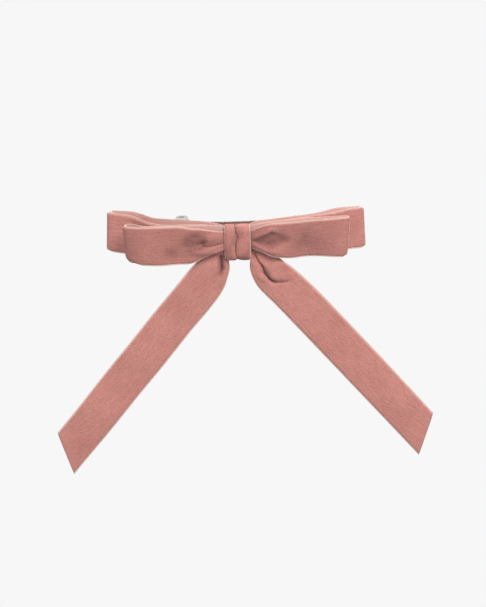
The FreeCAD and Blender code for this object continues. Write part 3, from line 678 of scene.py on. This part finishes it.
def left_tail_folds(x, z):
    """Forward relief of the left tail under the knot, in mm, and where shade is painted on it.

    Its inner edge is rolled forward beside a crease.
    """
    low = smooth((-z - 7.5) / 3.0)
    fade = 1 - smooth((-z - 15.0) / 9.0)
    line = -9.5 - 0.25 * np.clip(-z - 17.0, 0, 20)
    crease = hill(x - line, 1.7) * low * fade
    panel = side(line - x - 0.4, 0.30) * hill(x - line + 1.4, 3.4) * low * fade
    roll = hill(x - line - 2.2, 1.6) * low * (1 - smooth((-z - 18.0) / 11.0))
    ridge = hill(z + 0.78 * x + 1.5, 2.2) * smooth((-x - 8.0) / 4.0) * (1 - smooth((-x - 20.0) / 12.0))
    # Painted shade only, on the inner side of the roll beside the crease
    roll_shade = hill(x - line - 1.2, 1.3) * low * (1 - smooth((-z - 15.0) / 6.0))
    # The second value is painted shade in the crease and beside the roll
    return -2.9 * crease + 1.2 * panel + roll + 0.35 * ridge, 1.4 * crease + 0.9 * roll_shade


def right_tail_folds(x, z):
    """Forward relief of the right tail under the knot, in mm, and where shade is painted on it.

    A flap with a wavy edge lies over it, and a pit is left beside the flap's corner.
    """
    heights = np.array([-25.0, -24.2, -22.4, -19.8, -17.5, -15.1, -12.5, -10.4, -8.0, -4.0])
    places = np.array([20.0, 18.3, 16.7, 14.5, 14.4, 13.7, 11.6, 10.5, 9.3, 8.0])
    line = np.interp(z, heights, places)
    low = smooth((-z - 7.0) / 3.5)
    bottom = -23.6 - 0.9 * np.sin((x - 18.0) / 5.2) + 0.06 * np.clip(x - 25.0, 0, 20) ** 2
    flap = side(x - line, 0.25) * side(z - bottom, 0.65) * low * (1 - smooth((x - 21.0) / 9.0))
    shade = hill(z - bottom + 0.9, 1.2) * smooth((x - 15.0) / 3.0) * (1 - smooth((x - 25.0) / 5.0))
    crease = hill(x - line + 0.2, 0.6 + 0.08 * np.clip(-z - 12.0, 0, 12)) * low
    crease = crease * (1 - smooth((-z - 24.0) / 3.0))
    roll = hill(x - line + 4.2, 2.6) * low * (1 - smooth((-z - 22.0) / 9.0))
    pit = hill(x - 15.8, 1.7) * hill(z + 20.2, 2.4)
    relief = 2.1 * flap - 0.7 * shade - 2.3 * crease + 0.9 * roll - pit
    # The second value is painted shade in the crease, under the flap's lower edge and in the pit
    return relief, crease + 0.4 * shade + 0.9 * pit


def knot_band(step):
    """Middle surface of the knot band, its places across, how much of the pile stands, and how far its pile is
    darkened.

    Round the bow, the path is a rectangle with round corners, crowned a little where it faces forward.
    Across it, the ribbon runs from its left edge to a fold near the middle, back under itself, and out again
    to the right edge. Each point of the band is the path's point moved inwards by the depth of the fold,
    which is pressed nearly flat behind the bow.
    """
    # Each row: x, depth, share of the pile that stands.
    folds = [
        (-7.05, 0.75, 1), (-6.7, 0.24, 1), (-5.6, -0.08, 1), (-4.4, -0.22, 1), (-3.1, -0.16, 1),
        (-2.15, 0.08, 1), (-1.6, 0.38, 0.8), (-1.45, 0.66, 0.5), (-1.65, 0.9, 0.2), (-2.2, 1.06, 0.1),
        (-3.2, 1.12, 0.1), (-3.75, 1.26, 0.1), (-3.85, 1.42, 0.1), (-3.6, 1.58, 0.1), (-3.0, 1.66, 0.1),
        (-2.0, 1.66, 0.2), (-1.0, 1.5, 0.6), (-0.4, 1.2, 1), (0.3, 0.75, 1), (1.2, 0.28, 1),
        (2.8, 0.0, 1), (4.6, -0.08, 1), (6.6, 0.2, 1), (7.05, 0.75, 1),
    ]
    line = through(folds, 0.16)
    across = np.concatenate([[0.0], np.cumsum(np.linalg.norm(np.diff(line[:, :2], axis=0), axis=1))])
    across = across - across[-1] / 2
    front, back, top, bottom, crown = LIST_FRONT + 1.05, -6.95, 7.9, -11.35, 0.3
    corners = [(back, bottom, 2.6, 0), (front, bottom, 3.6, 90), (front, top, 2.8, 180), (back, top, 2.6, 270)]
    path = [[(back, -0.2, 0.0)]]
    for y, z, radius, start in corners:
        turn = -np.radians(np.linspace(start, start + 90, 25))
        inward_y = radius if y == front else -radius
        inward_z = radius if z == bottom else -radius
        round_y, round_z = y + inward_y + radius * np.cos(turn), z + inward_z + radius * np.sin(turn)
        path.append(np.stack([round_y, round_z, turn], axis=1))
    path.append([(back, 0.2, -2 * math.pi)])
    path = np.concatenate(path)
    walk = np.concatenate([[0.0], np.cumsum(np.linalg.norm(np.diff(path[:, :2], axis=0), axis=1))])
    where = np.linspace(0, walk[-1], int(walk[-1] / step))
    y, z, turn = (np.interp(where, walk, column)[:, None] for column in path.T)
    out_y, out_z = np.cos(turn), np.sin(turn)
    y = y - crown * np.sin(math.pi * np.clip((z - bottom) / (top - bottom), 0, 1)) * np.clip(-out_y, 0, 1)
    behind = smooth((y - front - 2.0) / (back - front - 3.0))
    x, depth, stands = (column[None, :] for column in line.T)
    wave = (0.45 * np.sin(z / 2.0 + 0.6) + 0.2 * np.sin(z / 0.9)) * hill(x + 1.4, 2.4) * (depth < 1.3)
    x = x + wave * (1 - behind)
    bend = smooth((np.abs(z - 0.5) - 5.5) / 4.0)
    ripples = soft_waves(x * 2.0, z * 1.6, 0.16) + soft_waves(x * 5, z * 3.4, 0.07)
    depth = depth * (1 - np.maximum(0.72 * behind, 0.5 * bend)) + ripples * (1 - behind)
    middle = np.stack([x, y - out_y * depth, z - out_z * depth], axis=2)
    # Darker pile: soft random blotches, darker towards the bottom of the band, and painted shade along the
    # fold's crease
    spots = soft_waves(x * 3.1 + 4.0, z * 2.7, 0.5) + 0.5 * smooth((-z - 3.0) / 6.0)
    painted_shade_and_tone = 0.24 + 0.70 * np.clip(spots, 0, 1) + 0.6 * hill(x + 0.5 - wave, 0.6) * (depth > 0.3)
    return middle, across, stands * (1 - 0.7 * behind), painted_shade_and_tone


# ---------------------------------------------------------------- pieces


def cloth_materials():
    """The ribbon's three finishes: pile, woven wrong side and bare edge. Made once."""
    names = ("velvet_pile", "velvet_backing", "velvet_selvedge")
    if names[0] in bpy.data.materials:
        return [bpy.data.materials[name] for name in names]
    colours = bpy.context.scene.bow_colours
    return [velvet(names[0]), woven(names[1], colours.backing, 0.00035, 0.00008),
            woven(names[2], colours.selvedge, 0.00045, 0.00012)]


def declare(piece, node):
    """Puts a ribbon on the body that it rides on, and hides the frame's node that it stands for."""
    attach(piece, "bow_and_plate")
    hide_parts(node)


class BOW_OT_rear(bpy.types.Operator):
    """Rear bow: one ribbon looped to both sides, with its ends under the knot"""

    bl_idname = "bow.rear"
    bl_label = "Rear bow"

    def execute(self, context):
        rows = REAR_LEFT_BACK + REAR_LEFT_FRONT + REAR_RIGHT_FRONT + REAR_RIGHT_BACK
        skew, corners = (0.55, -0.2), ((2.2, 1.8), (1.8, 2.4))
        middle, across, forward = loops(rows, RIBBON_WIDTH, 0.9, (10, 0.6), 0.42, skew, corners)
        x, z = middle[..., 0], middle[..., 2]
        out = smooth((np.abs(x) - 9.0) / 12.0)
        middle[..., 1] += soft_waves(x, z, 0.18) * out * forward
        ridge = hill(z - 3.4 + 0.05 * np.abs(x), 1.3) * smooth((np.abs(x) - 8.0) / 4.0)
        middle[..., 1] -= 0.35 * ridge * (1 - smooth((np.abs(x) - 24.0) / 16.0)) * forward
        # The pile is painted darker towards the bow's right side
        piece = ribbon_piece("rear_bow", middle, across, 1, cloth_materials(),
                             0.45 + 0.55 * smooth((np.abs(x) - 5.0) / 3.0), 0.16 * smooth(x / 30 + 0.5))
        declare(piece, "rear_bow_ribbon")
        return {"FINISHED"}


class BOW_OT_tails(bpy.types.Operator):
    """Tails: one ribbon laid across under the front bow, hanging out on both sides"""

    bl_idname = "bow.tails"
    bl_label = "Tails"

    def execute(self, context):
        middle, across, painted_shade_and_tone = tail_middle(0.34)
        x = middle[..., 0]
        # The pile is painted darker in the shaded folds under the knot
        piece = ribbon_piece("tails", middle, across, 1, cloth_materials(),
                             0.4 + 0.6 * smooth((np.abs(x) - 5.0) / 3.0), painted_shade_and_tone)
        declare(piece, "tail_ribbon")
        return {"FINISHED"}


class BOW_OT_front(bpy.types.Operator):
    """Front bow: one ribbon looped to both sides, gathered into soft folds beside the knot"""

    bl_idname = "bow.front"
    bl_label = "Front bow"

    def execute(self, context):
        depth = context.scene.bow_sizes.fold_depth / MM
        rows = FRONT_LEFT_BACK + FRONT_LEFT_FRONT + FRONT_RIGHT_FRONT + FRONT_RIGHT_BACK
        skew, corners = (-0.65, 1.2), ((4.6, 1.2), (2.2, 1.2))
        middle, across, forward = loops(rows, RIBBON_WIDTH, 0.8, (34, 0.45), 0.27, skew, corners)
        x, z = middle[..., 0], middle[..., 2]
        left, right = left_folds(x, z, depth), right_folds(x, z, depth)
        middle[..., 1] -= np.where(x < 0, left[0], right[0]) * forward
        # A darker tone over the whole loop, plus painted shade in its folds beside the knot
        painted_shade_and_tone = 0.43 + 0.57 * np.clip(np.where(x < 0, left[1], right[1]) * forward, 0, 1)
        middle[..., 1] += soft_waves(x, z, 0.2) * forward * smooth((np.abs(x) - 16.0) / 10.0)
        piece = ribbon_piece("front_bow", middle, across, 1, cloth_materials(),
                             0.25 + 0.75 * smooth((np.abs(x) - 6.0) / 3.0), painted_shade_and_tone)
        declare(piece, "front_bow_ribbon")
        return {"FINISHED"}


class BOW_OT_knot(bpy.types.Operator):
    """Knot: a ribbon folded narrower and wrapped round the middle of the bow"""

    bl_idname = "bow.knot"
    bl_label = "Knot"

    def execute(self, context):
        middle, across, stands, painted_shade_and_tone = knot_band(0.22)
        piece = ribbon_piece("knot", middle, across, -1, cloth_materials(), stands, painted_shade_and_tone)
        declare(piece, "knot_ribbon")
        return {"FINISHED"}


def finish_node(name, material):
    """Gives a node of the frame its finish."""
    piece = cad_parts[name]
    if not piece.material_slots:
        piece.data.materials.append(material)
    for slot in piece.material_slots:
        slot.material = material


class BOW_OT_finishes(bpy.types.Operator):
    """Clip: finishes of the steel parts and the thread"""

    bl_idname = "bow.finishes"
    bl_label = "Steel and thread finishes"

    def execute(self, context):
        colours = context.scene.bow_colours
        nickel = steel("nickel_plate", colours.nickel, 0.34, 0.00004)
        spring = steel("spring_steel", colours.spring, 0.24, 0.00003)
        thread = thread_material()
        finish = {"tension_spring": spring, "plate_stitches": thread, "gather_thread": thread}
        soft = {"rear_bow_ribbon", "front_bow_ribbon", "tail_ribbon", "knot_ribbon"}
        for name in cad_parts:
            if name not in soft:
                finish_node(name, finish.get(name, nickel))
        return {"FINISHED"}


def lamp(name, place, aim, size, power, tint=(1.0, 1.0, 1.0)):
    """A square soft light at a place, turned to an aim."""
    light = bpy.data.lights.new(name, "AREA")
    light.shape = "SQUARE"
    light.size = size
    light.energy = power
    light.color = tint
    holder = bpy.data.objects.new(name, light)
    holder.location = place
    holder.rotation_euler = (Vector(aim) - Vector(place)).to_track_quat("-Z", "Y").to_euler()
    holder.visible_camera = False
    bpy.context.scene.collection.objects.link(holder)


def seen_and_given(nodes, links, seen, given, output):
    """Emission that looks like `seen` to the camera and lights other things like `given`."""
    path = nodes.new("ShaderNodeLightPath")
    colours = mixed(nodes, links, path.outputs["Is Camera Ray"], given, seen)
    links.new(colours, output)


class BOW_OT_stage(bpy.types.Operator):
    """Stage: pale floor, backdrop, soft lights and camera"""

    bl_idname = "bow.stage"
    bl_label = "Stage"

    def execute(self, context):
        settings = context.scene.bow_stage
        seen = tuple(settings.backdrop)
        given = tuple(c * settings.ambience for c in seen)
        world = bpy.data.worlds.new("studio")
        world.use_nodes = True
        nodes, links = world.node_tree.nodes, world.node_tree.links
        seen_and_given(nodes, links, seen, given, nodes["Background"].inputs["Color"])
        context.scene.world = world
        low = min(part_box(name)[0].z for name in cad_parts)
        floor_height = low - FLOOR_DROP
        turn = np.linspace(0, 2 * math.pi, 97)[:-1]
        ring = np.stack([FLOOR_RADIUS * np.cos(turn), FLOOR_RADIUS * np.sin(turn),
                         np.full_like(turn, floor_height)], axis=1)
        mesh = bpy.data.meshes.new("floor")
        mesh.from_pydata(ring.tolist(), [], [list(range(len(ring)))])
        material = bpy.data.materials.new("floor_paper")
        material.use_nodes = True
        nodes, links = material.node_tree.nodes, material.node_tree.links
        emission = nodes.new("ShaderNodeEmission")
        links.new(emission.outputs[0], nodes["Material Output"].inputs["Surface"])
        seen_and_given(nodes, links, seen, given, emission.inputs["Color"])
        mesh.materials.append(material)
        put("floor", mesh)
        middle = Vector((0, KNOT_FRONT * MM, (BOW_MIDDLE - LAMP_AIM) * MM))
        warm, cool = (1.0, 0.985, 0.965), (0.985, 0.99, 1.0)
        lamp("key_light", middle + Vector((0.55, -0.95, 1.15)), middle, 0.7, settings.key, warm)
        lamp("fill_light", middle + Vector((-1.1, -0.9, 0.35)), middle, 1.0, settings.fill, cool)
        lamp("back_light", middle + Vector((0.25, 1.05, 1.35)), middle, 0.8, settings.back)
        knot = Vector((0, KNOT_FRONT * MM, BOW_MIDDLE * MM))
        ahead = Vector((0, math.cos(settings.tilt), -math.sin(settings.tilt)))
        level = Vector((1, 0, 0))
        above = Vector((0, math.sin(settings.tilt), math.cos(settings.tilt)))
        right = math.cos(settings.roll) * level - math.sin(settings.roll) * above
        up = math.sin(settings.roll) * level + math.cos(settings.roll) * above
        stand = knot + right * settings.aside - up * settings.below - ahead * settings.distance
        data = bpy.data.cameras.new("camera")
        data.sensor_fit = "AUTO"
        data.sensor_width = SENSOR_WIDTH
        data.lens = SENSOR_WIDTH * settings.distance / settings.field
        data.clip_start, data.clip_end = 0.05, 60
        camera = bpy.data.objects.new("camera", data)
        camera.matrix_world = Matrix.Translation(stand) @ Matrix((right, up, -ahead)).transposed().to_4x4()
        context.scene.collection.objects.link(camera)
        context.scene.camera = camera
        context.scene.view_settings.view_transform = "Standard"
        context.scene.view_settings.look = "None"
        return {"FINISHED"}


OPERATORS = (BOW_OT_rear, BOW_OT_tails, BOW_OT_front, BOW_OT_knot, BOW_OT_finishes, BOW_OT_stage)


class BOW_PT_panel(bpy.types.Panel):
    """Lists what makes the barrette"""

    bl_label = "Velvet bow barrette"
    bl_idname = "BOW_PT_panel"
    bl_space_type = "VIEW_3D"
    bl_region_type = "UI"
    bl_category = "Barrette"

    def draw(self, context):
        for group in (context.scene.bow_sizes, context.scene.bow_colours, context.scene.bow_stage):
            for name in group.__annotations__:
                self.layout.prop(group, name)
        for operator in OPERATORS:
            self.layout.operator(operator.bl_idname)


CLASSES = (BowSizes, BowColours, StageSettings) + OPERATORS + (BOW_PT_panel,)


def register():
    for each in CLASSES:
        bpy.utils.register_class(each)
    bpy.types.Scene.bow_sizes = bpy.props.PointerProperty(type=BowSizes)
    bpy.types.Scene.bow_colours = bpy.props.PointerProperty(type=BowColours)
    bpy.types.Scene.bow_stage = bpy.props.PointerProperty(type=StageSettings)


def unregister():
    del bpy.types.Scene.bow_sizes, bpy.types.Scene.bow_colours, bpy.types.Scene.bow_stage
    for each in reversed(CLASSES):
        bpy.utils.unregister_class(each)


def main():
    register()
    for operator in OPERATORS:
        group, name = operator.bl_idname.split(".")
        getattr(getattr(bpy.ops, group), name)()


if __name__ == "__main__":
    main()
